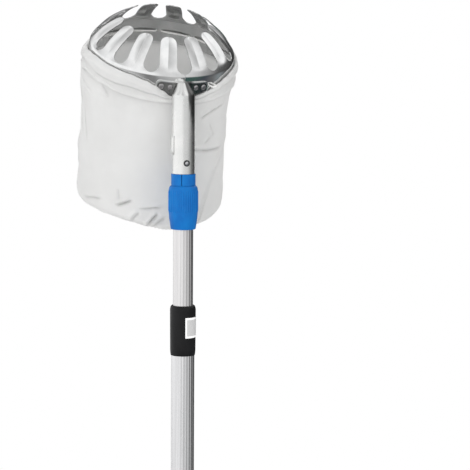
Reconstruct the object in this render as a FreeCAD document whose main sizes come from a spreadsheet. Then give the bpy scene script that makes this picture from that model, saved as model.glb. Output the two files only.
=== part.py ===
import FreeCAD, Part
import math
import os
import re

from FreeCAD import Placement, Rotation, Vector

# A fruit picker on a two-stage telescopic pole. The pole stands along +Z and the origin is in the
# middle of the hand grip. The crown leans back from the pole by crown_tilt, towards -Y, and the bag
# hangs below it on the +Y side. Every size is in millimetres and every angle in degrees.
SIZES = {
    # hand grip and hanging plug at the low end
    "grip_od": 28,
    "grip_length": 115,
    "stub_od": 24.8,
    "stub_length": 32.5,
    "stub_flats": 21,
    "hanging_hole": 7,
    "hanging_hole_drop": 18,
    "plug_depth": 25,
    # outer tube with its guide collar and bush
    "outer_tube_od": 25,
    "outer_tube_id": 22.6,
    "outer_tube_top": 1323,
    "collar_od": 27,
    "collar_low": 1275,
    "collar_top": 1329,
    "collar_lip": 2,
    "collar_rounding": 0.8,
    "collar_lip_id": 22.3,
    "bush_id": 21.6,
    "bush_length": 33,
    "bush_flange": 4,
    "label_low": 1294.7,
    "label_height": 22,
    "label_thick": 0.2,
    "label_angle": 92,
    "label_start": -96,
    # inner tube and the twist lock at its low end
    "inner_tube_od": 21.5,
    "inner_tube_id": 19.5,
    "inner_tube_low": 122,
    "inner_tube_top": 1462,
    "lock_plug_depth": 38,
    "lock_flange": 3.8,
    "lock_pin": 3,
    "lock_pin_up": 26,
    "spindle_od": 6,
    "spindle_low": 66,
    "spindle_grip": 18,
    "spindle_nut_width": 10,
    "spindle_nut_thick": 5,
    "sleeve_od": 22.5,
    "sleeve_low": 84,
    "sleeve_top": 118,
    "sleeve_bore": 8,
    "sleeve_bore_length": 10,
    "sleeve_mouth": 17.5,
    "sleeve_throat": 12,
    "sleeve_slot": 1.5,
    "sleeve_slot_length": 20,
    "cone_low": 74,
    "cone_top": 100,
    "cone_top_od": 13.6,
    "cone_od": 17.2,
    "cone_bore": 6.1,
    # clamp that holds the head on the inner tube
    "nut_low": 1411,
    "nut_taper": 18,
    "nut_barrel": 24,
    "nut_shoulder": 4.6,
    "nut_od": 32,
    "nut_root_od": 31,
    "nut_low_od": 27,
    "nut_top_od": 26.6,
    "nut_ribs": 40,
    "nut_exit": 22.3,
    "nut_thread": 25.4,
    "nut_seat_small": 23.6,
    "nut_seat_low": 1415.5,
    "nut_seat_top": 1427.5,
    "neck_low": 1458,
    "neck_top": 1470,
    "neck_od": 26,
    "neck_slit": 1.2,
    "neck_slit_depth": 2,
    "neck_slit_angle": -28,
    "thread_od": 25.2,
    "thread_low": 1434,
    "clamp_bore": 21.6,
    "spigot_od": 22.2,
    "spigot_length": 35,
    "collet_low": 1416.3,
    "collet_top": 1433.7,
    "collet_taper": 11.7,
    "collet_od": 24.8,
    "collet_low_od": 23,
    "collet_slot": 1.5,
    # crown, in its own frame: its axis is its own +Z and its ridge is at zero
    "ridge_height": 1572,
    "ridge_reach": 4.5,
    "crown_tilt": 23,
    "crown_radius": 80,
    "sheet_thick": 1,
    "band_height": 26,
    "finger_rise": 31,
    "tip_radius": 46,
    "finger_count": 13,
    "finger_turn": 2.3,
    "gap_radius": 8.6,
    "gap_up": 11,
    "gap_tip": 3.2,
    "gap_inside": 20,
    "seam_gap": 0.6,
    "drill_length": 14,
    "drill_start": 4,
    "clear_height": 140,
    # handle socket
    "socket_od": 24,
    "socket_id": 22.3,
    "socket_top": 1546,
    "nose_rise": 22,
    "nose_radius": 5.5,
    "nose_waist": 1.5,
    "plate_thick": 1.2,
    "plate_angle": 43,
    "plate_low": 20.5,
    "plate_height": 17,
    "lug_low": 1491,
    "lug_height": 20,
    "rivet_down": 11.5,
    "rivet_shank": 3.2,
    "rivet_head": 6,
    "rivet_head_thick": 1.4,
    "rivet_inner": 9.6,
    "rivet_outer": 16.3,
    "screw_height": 1482,
    "screw_head": 6,
    "screw_shank": 3.4,
    "screw_length": 9,
    # bag and its lacing, in the crown's frame
    "bag_gap": 0.4,
    "hem_thick": 3,
    "hem_down": 9,
    "hem_height": 25,
    "hem_notch": 31.5,
    "hem_notch_down": 23.5,
    "bag_wall": 1.2,
    "bag_top_radius": 82.4,
    "bag_low_radius": 81.5,
    "bag_depth": 176,
    "bag_drift": 20.4,
    "cord_od": 2,
    "cord_down": 13,
    "cord_hole": 3.2,
    "cord_inside": 77.2,
    "cord_outside": 84.9,
    "stitch_half_angle": 2.2,
    "stitch_bend": 1.8,
}

doc = FreeCAD.newDocument("fruit_picker")
sheet = doc.addObject("Spreadsheet::Sheet", "sizes")
for row, (alias, value) in enumerate(SIZES.items(), start=1):
    sheet.set(f"A{row}", alias)
    sheet.set(f"B{row}", str(value))
    sheet.setAlias(f"B{row}", alias)
doc.recompute()

nodes = []


def size(alias):
    """The number in the sheet's cell of that alias."""
    return float(sheet.get(alias))


def cells(formula):
    """A formula of aliases as an expression that reads the sheet's cells."""
    return re.sub(r"[a-z]\w+", lambda word: f"sizes.{word[0]}" if word[0] in SIZES else word[0], formula)


def bind(thing, **formulas):
    """Binds properties to formulas of aliases; x, y, z and turn are the thing's placement."""
    places = {"x": "Placement.Base.x", "y": "Placement.Base.y", "z": "Placement.Base.z"}
    places["turn"] = "Placement.Rotation.Angle"
    for name, formula in formulas.items():
        thing.setExpression(places.get(name, name), cells(str(formula)))
    return thing


def cylinder(name, radius, height, **place):
    """An upright cylinder whose sizes and place are formulas."""
    return bind(doc.addObject("Part::Cylinder", name), Radius=radius, Height=height, **place)


def cone(name, low_radius, top_radius, height, **place):
    """An upright cone whose sizes and place are formulas."""
    solid = doc.addObject("Part::Cone", name)
    return bind(solid, Radius1=low_radius, Radius2=top_radius, Height=height, **place)


def box(name, length, width, height, **place):
    """A box along the axes whose sizes and place are formulas."""
    return bind(doc.addObject("Part::Box", name), Length=length, Width=width, Height=height, **place)


def loft(name, sections):
    """A straight-sided solid through circles, each given as radius, y and z formulas."""
    rings = []
    for number, (radius, y, z) in enumerate(sections):
        ring = doc.addObject("Part::Circle", f"{name}_ring_{number}")
        rings.append(bind(ring, Radius=radius, y=y, z=z))
    solid = doc.addObject("Part::Loft", name)
    solid.Sections = rings
    solid.Solid = True
    solid.Ruled = True
    return solid


def lying(solid, direction):
    """Turns a solid's own +Z to the given direction."""
    solid.Placement = Placement(solid.Placement.Base, Rotation(Vector(0, 0, 1), direction))
    return solid


def fuse(name, *solids):
    """The solids joined into one."""
    joined = doc.addObject("Part::MultiFuse", name)
    joined.Shapes = list(solids)
    joined.Refine = True
    return joined


def cut(name, base, *tools):
    """The base without the tools."""
    left = doc.addObject("Part::Cut", name)
    left.Base = base
    left.Tool = tools[0] if len(tools) == 1 else fuse(f"{name}_tools", *tools)
    return left


def group(name, *solids):
    """Separate solids kept together."""
    together = doc.addObject("Part::Compound", name)
    together.Links = list(solids)
    return together


def ringed(name, outer, inner, height, z):
    """A plain tube."""
    outside = cylinder(f"{name}_outside", outer, height, z=z)
    return cut(name, outside, cylinder(f"{name}_bore", inner, height, z=z))


def on_crown(solid):
    """Places a solid made in the crown's own frame where the crown is."""
    solid.Placement = Placement(Vector(0, 0, 0), Rotation(Vector(1, 0, 0), size("crown_tilt")))
    bind(solid, turn="crown_tilt * 1 deg")
    bind(solid, y="ridge_reach + crown_radius * cos(crown_tilt * 1 deg)")
    bind(solid, z="ridge_height + crown_radius * sin(crown_tilt * 1 deg)")
    return solid


def outward(distance, degrees):
    """The x and y formulas of a point that far out from the Z axis, at an angle counted from -Y."""
    return {"x": f"({distance}) * sin({degrees} * 1 deg)",
            "y": f"0 - ({distance}) * cos({degrees} * 1 deg)"}


def radial(name, radius, length, start, z, degrees):
    """A rod along a radius, from a start distance outward, at an angle counted from -Y."""
    turn = math.radians(degrees)
    rod = lying(cylinder(name, radius, length), Vector(math.sin(turn), -math.cos(turn), 0))
    return bind(rod, z=z, **outward(start, degrees))


def turned(solid, degrees, tip=0):
    """Tips a solid about X and then turns it about Z; its place stays at the Z axis."""
    solid.Placement = Placement(solid.Placement.Base, Rotation(degrees, 0, tip))
    return solid


def node(label, thing):
    """Names a finished sub-part; the name is also its file's."""
    thing.Label = label
    nodes.append(thing)
    return thing


def outer_pole():
    """The outer tube and what is fixed to it."""
    half_grip = "grip_length / 2"
    node("outer_tube", ringed("outer_tube_solid", "outer_tube_od / 2", "outer_tube_id / 2",
                              f"outer_tube_top + {half_grip}", f"0 - {half_grip}"))
    node("end_grip", ringed("end_grip_solid", "grip_od / 2", "outer_tube_od / 2",
                            "grip_length", f"0 - {half_grip}"))
    node("hanging_plug", hanging_plug())
    node("guide_bush", guide_bush())
    node("guide_collar", guide_collar())
    node("collar_label", collar_label())


def hanging_plug():
    """The plug in the pole's low end: a spigot in the tube and a stub with flats and a cross hole."""
    stub_low = "0 - grip_length / 2 - stub_length"
    spigot = cylinder("plug_spigot", "outer_tube_id / 2", "plug_depth", z="0 - grip_length / 2")
    body = cylinder("plug_body", "stub_od / 2", "stub_length", z=stub_low)
    slab = box("plug_slab", "stub_flats", "stub_od", "stub_length + 1",
               x="0 - stub_flats / 2", y="0 - stub_od / 2", z=stub_low)
    flat_body = doc.addObject("Part::Common", "plug_flat_body")
    flat_body.Base = body
    flat_body.Tool = slab
    round_end = loft("plug_round_end", [("stub_od / 2 - 5", 0, stub_low),
                                        ("stub_od / 2 - 1.6", 0, f"{stub_low} + 2"),
                                        ("stub_od / 2", 0, f"{stub_low} + 6"),
                                        ("stub_od / 2", 0, f"{stub_low} + stub_length")])
    ended = doc.addObject("Part::Common", "plug_ended")
    ended.Base = flat_body
    ended.Tool = round_end
    hole = lying(cylinder("plug_hole", "hanging_hole / 2", "stub_od"), Vector(1, 0, 0))
    bind(hole, x="0 - stub_od / 2", z="0 - grip_length / 2 - hanging_hole_drop")
    return cut("hanging_plug_solid", fuse("plug_whole", spigot, ended), hole)


def guide_bush():
    """The plastic bush that the inner tube runs in, with a flange on the outer tube's end."""
    skirt = cylinder("bush_skirt", "outer_tube_id / 2", "bush_length", z="outer_tube_top - bush_length")
    flange = cylinder("bush_flange_disc", "outer_tube_od / 2", "bush_flange", z="outer_tube_top")
    bore = cylinder("bush_bore", "bush_id / 2", "bush_length + bush_flange",
                    z="outer_tube_top - bush_length")
    return cut("guide_bush_solid", fuse("bush_whole", skirt, flange), bore)


def guide_collar():
    """The sleeve over the outer tube's top end, with a lip that keeps the bush in."""
    outside = cylinder("collar_outside", "collar_od / 2", "collar_top - collar_low", z="collar_low")
    rounded = doc.addObject("Part::Fillet", "collar_rounded")
    rounded.Base = outside
    doc.recompute()
    rims = [i for i, edge in enumerate(outside.Shape.Edges, start=1)
            if edge.Curve.TypeId == "Part::GeomCircle"]
    rounded.Edges = [(i, size("collar_rounding"), size("collar_rounding")) for i in rims]
    bore = cylinder("collar_bore", "outer_tube_od / 2", "collar_top - collar_low - collar_lip",
                    z="collar_low")
    lip = cylinder("collar_lip_hole", "collar_lip_id / 2", "collar_lip + 2",
                   z="collar_top - collar_lip - 1")
    return cut("guide_collar_solid", rounded, bore, lip)


def collar_label():
    """The thin label on the guide collar."""
    patch = cylinder("label_patch", "collar_od / 2 + label_thick", "label_height",
                     Angle="label_angle * 1 deg")
    inside = cylinder("label_inside", "collar_od / 2", "label_height")
    label = cut("collar_label_solid", patch, inside)
    return bind(turned(label, size("label_start")), z="label_low")


def inner_pole():
    """The inner tube, and the screw of the twist lock fixed in its low end."""
    pin_height = "inner_tube_low + lock_pin_up"
    pin_bore = cross_pin("pin_bore_in_tube", "lock_pin / 2", pin_height)
    tube = ringed("inner_tube_plain", "inner_tube_od / 2", "inner_tube_id / 2",
                  "inner_tube_top - inner_tube_low", "inner_tube_low")
    node("inner_tube", cut("inner_tube_solid", tube, pin_bore))

    plug_body = cylinder("lock_plug_body", "inner_tube_id / 2", "lock_plug_depth", z="inner_tube_low")
    flange = cylinder("lock_plug_flange", "inner_tube_od / 2", "lock_flange",
                      z="inner_tube_low - lock_flange")
    socket = cylinder("lock_plug_socket", "spindle_od / 2", "lock_flange + spindle_grip",
                      z="inner_tube_low - lock_flange")
    plug_pin_bore = cross_pin("pin_bore_in_plug", "lock_pin / 2", pin_height)
    whole_plug = fuse("lock_plug_whole", plug_body, flange)
    node("lock_plug", cut("lock_plug_solid", whole_plug, socket, plug_pin_bore))
    node("lock_plug_pin", cross_pin("lock_plug_pin_solid", "lock_pin / 2", pin_height))
    node("lock_spindle", cylinder("lock_spindle_solid", "spindle_od / 2",
                                  "inner_tube_low + spindle_grip - spindle_low", z="spindle_low"))
    hexagon = doc.addObject("Part::Prism", "spindle_nut_hexagon")
    hexagon.Polygon = 6
    bind(hexagon, Circumradius="spindle_nut_width / sqrt(3)", Height="spindle_nut_thick", z="spindle_low")
    nut_bore = cylinder("spindle_nut_bore", "spindle_od / 2", "spindle_nut_thick", z="spindle_low")
    node("spindle_nut", cut("spindle_nut_solid", hexagon, nut_bore))


def cross_pin(name, radius, z):
    """A pin along X through the inner tube."""
    pin = lying(cylinder(name, radius, "inner_tube_od - 0.1"), Vector(1, 0, 0))
    return bind(pin, x="0 - inner_tube_od / 2 + 0.05", z=z)


def twist_lock():
    """The split sleeve that grips the outer tube's bore, and the cone that spreads it."""
    outside = cylinder("sleeve_outside", "sleeve_od / 2", "sleeve_top - sleeve_low", z="sleeve_low")
    bore = cylinder("sleeve_bore_hole", "sleeve_bore / 2", "sleeve_bore_length + 1",
                    z="sleeve_top - sleeve_bore_length - 1")
    taper = cone("sleeve_taper", "sleeve_mouth / 2", "sleeve_throat / 2",
                 "sleeve_top - sleeve_low - sleeve_bore_length", z="sleeve_low")
    slots = crossed_slots("sleeve_slots", "sleeve_slot", "sleeve_od", "sleeve_slot_length", "sleeve_low")
    node("expander_sleeve", cut("expander_sleeve_solid", outside, bore, taper, *slots))

    foot = cylinder("cone_foot", "cone_od / 2", "sleeve_low - cone_low", z="cone_low")
    nose = cone("cone_nose", "cone_od / 2", "cone_top_od / 2", "cone_top - sleeve_low", z="sleeve_low")
    hole = cylinder("cone_hole", "cone_bore / 2", "cone_top - cone_low", z="cone_low")
    node("expander_cone", cut("expander_cone_solid", fuse("cone_whole", foot, nose), hole))


def crossed_slots(name, width, length, height, z):
    """Two thin boxes across each other, which cut four slots."""
    along = box(f"{name}_x", length, width, height, x=f"0 - {length} / 2", y=f"0 - {width} / 2", z=z)
    across = box(f"{name}_y", width, length, height, x=f"0 - {width} / 2", y=f"0 - {length} / 2", z=z)
    return along, across


def head_clamp():
    """The clamp under the socket: its body, the split collet and the ribbed nut."""
    node("clamp_body", clamp_body())
    outside = cylinder("collet_top_ring", "collet_od / 2", "collet_top - collet_low - collet_taper",
                       z="collet_low + collet_taper")
    taper = cone("collet_cone", "collet_low_od / 2", "collet_od / 2", "collet_taper", z="collet_low")
    bore = cylinder("collet_bore", "clamp_bore / 2", "collet_top - collet_low", z="collet_low")
    slots = crossed_slots("collet_slots", "collet_slot", "collet_od", "collet_taper", "collet_low")
    node("split_collet", cut("split_collet_solid", fuse("collet_whole", outside, taper), bore, *slots))
    node("clamp_nut", clamp_nut())


def clamp_body():
    """A spigot up in the socket, a neck ring and a threaded skirt round the inner tube's end."""
    spigot = cylinder("body_spigot", "spigot_od / 2", "spigot_length", z="neck_top")
    neck = cylinder("body_neck", "neck_od / 2", "neck_top - neck_low", z="neck_low")
    skirt = cylinder("body_skirt", "thread_od / 2", "neck_low - thread_low", z="thread_low")
    bore = cylinder("body_bore", "clamp_bore / 2", "inner_tube_top + 1 - thread_low", z="thread_low")
    slit = turned(box("body_slit", "neck_slit", "neck_slit_depth", "neck_top - neck_low", z="neck_low"),
                  size("neck_slit_angle"))
    bind(slit, **outward("neck_od / 2", "neck_slit_angle"))
    whole = fuse("body_whole", spigot, neck, skirt)
    return cut("clamp_body_solid", whole, bore, slit, screw_shank("screw_pilot"))


def screw_shank(name):
    """The socket screw's shank, from the socket's front face inward."""
    shank = lying(cylinder(name, "screw_shank / 2", "screw_length"), Vector(0, 1, 0))
    return bind(shank, y="0 - socket_od / 2 - 0.5", z="screw_height")


def clamp_nut():
    """The nut: a smooth taper below, a ribbed barrel and a shoulder, over a thread and a tapered seat."""
    barrel_low = "nut_low + nut_taper"
    barrel_top = "nut_low + nut_taper + nut_barrel"
    taper = cone("nut_taper_cone", "nut_low_od / 2", "nut_root_od / 2", "nut_taper", z="nut_low")
    barrel = cylinder("nut_barrel_root", "nut_root_od / 2", "nut_barrel", z=barrel_low)
    shoulder = cone("nut_shoulder_cone", "nut_root_od / 2", "nut_top_od / 2", "nut_shoulder", z=barrel_top)
    ribs = []
    for number, degrees in enumerate(even_angles("nut_ribs")):
        rib = cylinder(f"nut_rib_{number}", "(nut_od - nut_root_od) / 2", "nut_barrel", z=barrel_low)
        ribs.append(bind(rib, **outward("nut_root_od / 2", degrees)))
    exit_hole = cylinder("nut_exit_hole", "nut_exit / 2", "nut_seat_low - nut_low + 0.1", z="nut_low")
    seat = cone("nut_seat", "nut_seat_small / 2", "nut_thread / 2", "nut_seat_top - nut_seat_low",
                z="nut_seat_low")
    thread = cylinder("nut_thread_hole", "nut_thread / 2", "neck_low - nut_seat_top", z="nut_seat_top")
    whole = fuse("nut_whole", taper, barrel, shoulder, *ribs)
    return cut("clamp_nut_solid", whole, exit_hole, seat, thread)


def even_angles(alias):
    """Evenly spaced angles, as many as the sheet says, from zero."""
    count = int(size(alias))
    return [360 * number / count for number in range(count)]


def crown():
    """The pressed sheet crown: an upright band below the ridge and thirteen fingers leaning in above it."""
    slope = math.atan2(size("crown_radius") - size("tip_radius"), size("finger_rise"))
    level = size("sheet_thick") / math.cos(slope)
    band = ringed("crown_band", "crown_radius", "crown_radius - sheet_thick", "band_height",
                  "0 - band_height")
    dome = cone("dome_outside", "crown_radius", "tip_radius", "finger_rise")
    hollow = cone("dome_inside", f"crown_radius - {level}", f"tip_radius - {level}", "finger_rise")
    shell = fuse("crown_shell", band, cut("crown_dome", dome, hollow))

    gaps = []
    for number, degrees in enumerate(gap_angles()):
        foot = radial(f"gap_foot_{number}", "gap_radius", "crown_radius", "gap_inside", "gap_up", degrees)
        wedge = doc.addObject("Part::Wedge", f"gap_wedge_{number}")
        bind(wedge, Xmin="0 - gap_radius", Xmax="gap_radius", X2min="0 - gap_tip", X2max="gap_tip")
        bind(wedge, Ymin="gap_up", Ymax="finger_rise + 1")
        bind(wedge, Zmin="gap_inside", Zmax="gap_inside + crown_radius")
        bind(wedge, Z2min="gap_inside", Z2max="gap_inside + crown_radius")
        gaps += [foot, turned(wedge, degrees, 90)]
    seam = box("crown_seam", "seam_gap", "crown_radius", "band_height + gap_up",
               x="0 - seam_gap / 2", y="0 - crown_radius - 5", z="0 - band_height")
    seam = turned(group("crown_seam_place", seam), gap_angles()[0])
    holes = cord_holes("crown") + rivet_holes("crown")
    node("crown", on_crown(cut("crown_solid", shell, *gaps, seam, *holes)))


def gap_angles():
    """Where the gaps between fingers are: the first is a little to one side of the socket."""
    return [degrees + size("finger_turn") for degrees in even_angles("finger_count")]


def stitch_angles():
    """Where the lacing goes through: close below each finger gap but the one behind the socket."""
    return even_angles("finger_count")[1:]


def cord_holes(owner):
    """Two holes for each stitch of the lacing."""
    half = size("stitch_half_angle")
    angles = [middle + side for middle in stitch_angles() for side in (-half, half)]
    return [radial(f"{owner}_cord_hole_{number}", "cord_hole / 2", "drill_length",
                   "crown_radius - drill_start", "0 - cord_down", degrees)
            for number, degrees in enumerate(angles)]


def rivet_angles():
    """Where the four rivets sit on either side of the crown's seam."""
    return [side * size(place) for side in (-1, 1) for place in ("rivet_inner", "rivet_outer")]


def rivet_holes(owner):
    """The four holes for the rivets."""
    return [radial(f"{owner}_rivet_hole_{number}", "rivet_shank / 2", "drill_length",
                   "crown_radius - drill_start", "0 - rivet_down", degrees)
            for number, degrees in enumerate(rivet_angles())]


def handle_socket():
    """The pressed socket: a tube for the clamp's spigot, a closed nose and a plate on the crown's band."""
    half_nose = "nose_rise / 2"
    tube = cylinder("socket_tube", "socket_od / 2", "socket_top - neck_top", z="neck_top")
    nose = cone("socket_nose", "socket_od / 2", "socket_od / 2 - nose_waist", half_nose, z="socket_top")
    tip = cone("socket_tip", "socket_od / 2 - nose_waist", "nose_radius", half_nose,
               z="socket_top + nose_rise / 2")
    lug = box("socket_lug", "2", "6", "lug_height", x="0 - socket_od / 2 - 1.4", y="-3", z="lug_low")
    bore = cylinder("socket_bore", "socket_id / 2", "socket_top - neck_top", z="neck_top")
    nose_bore = cone("socket_nose_bore", "socket_id / 2", "socket_id / 2 - nose_waist", half_nose,
                     z="socket_top")
    tip_bore = cone("socket_tip_bore", "socket_id / 2 - nose_waist", "nose_radius - 0.8",
                    "nose_rise / 2 - 1", z="socket_top + nose_rise / 2")
    hollow = cut("socket_hollow", fuse("socket_outside", tube, nose, tip, lug), bore, nose_bore, tip_bore)

    plate = cylinder("plate_sector", "crown_radius + plate_thick", "plate_height",
                     Angle="plate_angle * 1 deg")
    turned(plate, -90 - size("plate_angle") / 2)
    bind(plate, z="0 - plate_low")
    with_plate = fuse("socket_whole", hollow, on_crown(group("plate_group", plate)))
    crown_space = cylinder("crown_space", "crown_radius", "clear_height", z="0 - clear_height / 2")
    space = on_crown(group("crown_and_rivet_space", crown_space))
    drilled = [on_crown(group(f"plate_hole_{number}", hole))
               for number, hole in enumerate(rivet_holes("plate"))]
    screw_hole = screw_shank("screw_hole_in_socket")
    node("handle_socket", cut("handle_socket_solid", with_plate, space, *drilled, screw_hole))

    rivets = []
    for number, degrees in enumerate(rivet_angles()):
        shank = radial(f"rivet_shank_{number}", "rivet_shank / 2", "plate_thick + sheet_thick + 1.5",
                       "crown_radius - sheet_thick - 1", "0 - rivet_down", degrees)
        head = radial(f"rivet_head_{number}", "rivet_head / 2", "rivet_head_thick",
                      "crown_radius + plate_thick + 0.1", "0 - rivet_down", degrees)
        tail = radial(f"rivet_tail_{number}", "rivet_head / 2 - 0.5", "1",
                      "crown_radius - sheet_thick - 1.2", "0 - rivet_down", degrees)
        rivets.append(fuse(f"rivet_{number}", shank, head, tail))
    node("socket_rivets", on_crown(group("socket_rivets_group", *rivets)))

    screw_head = lying(cylinder("screw_head_disc", "screw_head / 2", "2"), Vector(0, 1, 0))
    bind(screw_head, y="0 - socket_od / 2 - 2", z="screw_height")
    node("socket_screw", fuse("socket_screw_solid", screw_head, screw_shank("screw_shank_solid")))


def bag():
    """The bag as plain solids: a hem round the crown's band, a side wall that hangs, and a round floor."""
    hem_low = "hem_down + hem_height"
    hem_inner = "crown_radius + bag_gap"
    band = ringed("hem_band", f"{hem_inner} + hem_thick", hem_inner, "hem_height", f"0 - ( {hem_low} )")
    notch = box("hem_notch_box", "2 * hem_notch", "hem_notch", "hem_notch_down",
                x="0 - hem_notch", y="0 - crown_radius - hem_notch / 2", z="0 - hem_notch_down")
    hem = on_crown(cut("hem_open", band, notch, *cord_holes("hem")))
    tube_space = cylinder("tube_space", "socket_od / 2 + bag_gap", "clear_height", z="neck_top")
    node("bag_hem", cut("bag_hem_solid", hem, tube_space))

    outside = loft("bag_outside", [("bag_top_radius", 0, f"0 - ( {hem_low} )"),
                                   ("bag_low_radius", "0 - bag_drift", "0 - bag_depth")])
    inside = loft("bag_inside", [("bag_top_radius - bag_wall", 0, f"0 - ( {hem_low} )"),
                                 ("bag_low_radius - bag_wall", "0 - bag_drift", "0 - bag_depth")])
    node("bag_side", on_crown(cut("bag_side_solid", outside, inside)))
    floor = cylinder("bag_floor_disc", "bag_low_radius - bag_wall - bag_gap", "bag_wall",
                     y="0 - bag_drift", z="0 - bag_depth")
    node("bag_bottom", on_crown(group("bag_bottom_group", floor)))


def rounded_loop(corners, bend):
    """A closed wire through flat corners, with an arc of the given radius at each."""
    edges = []
    count = len(corners)
    joins = []
    for i, corner in enumerate(corners):
        back = (corners[i - 1] - corner).normalize()
        on = (corners[(i + 1) % count] - corner).normalize()
        half = back.getAngle(on) / 2
        leg = bend / math.tan(half)
        inward = (back + on).normalize()
        middle = corner + inward * (bend / math.sin(half) - bend)
        joins.append((corner + back * leg, middle, corner + on * leg))
    for i, (start, middle, end) in enumerate(joins):
        edges.append(Part.Arc(start, middle, end).toShape())
        edges.append(Part.LineSegment(end, joins[(i + 1) % count][0]).toShape())
    return Part.Wire(edges)


def bag_cord():
    """The lacing: straight runs inside the band, and a short stitch out through the hem at each pair
    of holes."""
    corners = []
    half = size("stitch_half_angle")
    for middle in stitch_angles():
        for side, radii in ((-half, ("cord_inside", "cord_outside")),
                            (half, ("cord_outside", "cord_inside"))):
            angle = math.radians(middle + side - 90)
            for radius in radii:
                corners.append(Vector(size(radius) * math.cos(angle), size(radius) * math.sin(angle),
                                      -size("cord_down")))
    path = rounded_loop(corners, size("stitch_bend"))
    first = path.OrderedEdges[0]
    point = first.valueAt(first.FirstParameter)
    tangent = first.tangentAt(first.FirstParameter)
    section = Part.Wire(Part.makeCircle(size("cord_od") / 2, point, tangent))
    tube = path.makePipeShell([section], True, False)
    area = math.pi * (size("cord_od") / 2) ** 2
    print("lacing length", round(path.Length, 1),
          "volume ratio", round(tube.Volume / (area * path.Length), 4))
    cord = doc.addObject("Part::Feature", "bag_cord_solid")
    cord.Shape = tube
    node("bag_cord", on_crown(cord))


def check_and_write():
    """Stops on any failed object or bad shape, and writes one file for each sub-part."""
    doc.recompute()
    for thing in doc.Objects:
        if "Invalid" in thing.State or "Error" in thing.State:
            raise RuntimeError(f"{thing.Name} failed: {thing.State}")
    for part in nodes:
        shape = part.Shape
        if shape.isNull() or not shape.isValid() or not shape.Solids:
            raise RuntimeError(f"{part.Label} has no valid solid")
    os.makedirs("parts", exist_ok=True)
    for part in nodes:
        part.Shape.exportStep(f"parts/{part.Label}.step")
        bounds = part.Shape.BoundBox
        corners = (bounds.XMin, bounds.YMin, bounds.ZMin, bounds.XMax, bounds.YMax, bounds.ZMax)
        print(part.Label, len(part.Shape.Solids), round(part.Shape.Volume), [round(v, 1) for v in corners])


outer_pole()
inner_pole()
twist_lock()
head_clamp()
crown()
handle_socket()
bag()
bag_cord()
check_and_write()
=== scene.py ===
import math
from functools import partial
from math import cos, pi, radians, sin, tau

import bmesh
import bpy
from mathutils import Matrix, Vector, noise


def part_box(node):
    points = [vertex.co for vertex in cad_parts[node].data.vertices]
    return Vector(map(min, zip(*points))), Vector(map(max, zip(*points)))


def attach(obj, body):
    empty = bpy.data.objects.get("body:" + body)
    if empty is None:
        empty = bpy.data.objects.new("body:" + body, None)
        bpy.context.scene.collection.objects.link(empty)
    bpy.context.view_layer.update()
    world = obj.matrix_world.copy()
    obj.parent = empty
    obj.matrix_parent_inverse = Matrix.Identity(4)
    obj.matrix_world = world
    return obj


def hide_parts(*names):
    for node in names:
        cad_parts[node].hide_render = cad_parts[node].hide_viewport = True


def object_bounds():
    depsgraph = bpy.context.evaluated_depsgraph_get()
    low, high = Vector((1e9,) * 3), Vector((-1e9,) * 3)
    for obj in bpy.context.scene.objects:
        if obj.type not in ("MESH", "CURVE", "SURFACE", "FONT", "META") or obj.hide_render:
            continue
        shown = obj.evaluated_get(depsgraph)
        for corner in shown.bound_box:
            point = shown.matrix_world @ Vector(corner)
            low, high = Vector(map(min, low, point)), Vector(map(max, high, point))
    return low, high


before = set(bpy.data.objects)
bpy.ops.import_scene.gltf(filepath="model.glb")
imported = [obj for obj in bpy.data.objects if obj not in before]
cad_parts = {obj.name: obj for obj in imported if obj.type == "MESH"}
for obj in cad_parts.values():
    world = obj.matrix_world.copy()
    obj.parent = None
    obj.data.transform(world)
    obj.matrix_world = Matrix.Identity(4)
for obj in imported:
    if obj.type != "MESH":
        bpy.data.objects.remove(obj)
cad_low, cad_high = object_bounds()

# A fruit picker: a ring of pressed steel fingers with a cloth bag, on a two-stage telescopic pole.
# The pole stands on +Z at x = y = 0. The crown has its own frame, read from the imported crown: ACROSS is
# world X, BACK runs from its front to its back, and UP is its axis, which leans TILT toward -Y.
# Angles round the crown start at its front and grow toward +X. Heights on the crown and the bag start at
# the crown's ridge. Lengths are in metres unless a comment says millimetres.
MM = 0.001
scene = bpy.context.scene

TILT = radians(23)
BAND = 26 * MM
SHEET = 0.9 * MM
ACROSS = Vector((1, 0, 0))
BACK = Vector((0, cos(TILT), sin(TILT)))
UP = Vector((0, -sin(TILT), cos(TILT)))
crown_low, crown_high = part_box("crown")
RING = (crown_high.x - crown_low.x) / 2
CENTRE = Vector(((crown_low.x + crown_high.x) / 2,
                 crown_high.y - RING * cos(TILT) - BAND * sin(TILT),
                 crown_low.z + RING * sin(TILT) + BAND * cos(TILT)))
FINGERS = 13
PITCH = tau / FINGERS
FINGER_TURN = radians(2.3)


def on_ring(angle, radius, height, drift=0.0):
    """A point in the crown's frame: round it from the front, out from its axis, up from its ridge."""
    return CENTRE + ACROSS * (radius * sin(angle)) + BACK * (drift - radius * cos(angle)) + UP * height


def outward_at(angle):
    return on_ring(angle, 1, 0) - on_ring(angle, 0, 0)


def mix(a, b, t):
    return a + (b - a) * t


def smooth_step(low, high, x):
    t = min(max((x - low) / (high - low), 0.0), 1.0)
    return t * t * (3 - 2 * t)


def eased(stops, x):
    """Smoothly joined values: stops are (place, value), in order."""
    for (x0, y0), (x1, y1) in zip(stops, stops[1:]):
        if x <= x1:
            return mix(y0, y1, smooth_step(x0, x1, x))
    return stops[-1][1]


# ---- Materials

NOISE_ROUGHNESS = 0.55
# The part of a noise's range that its colours and roughness are spread over
NOISE_RANGE = (0.3, 0.7)
THREADS_PER_METRE = 1900


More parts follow.
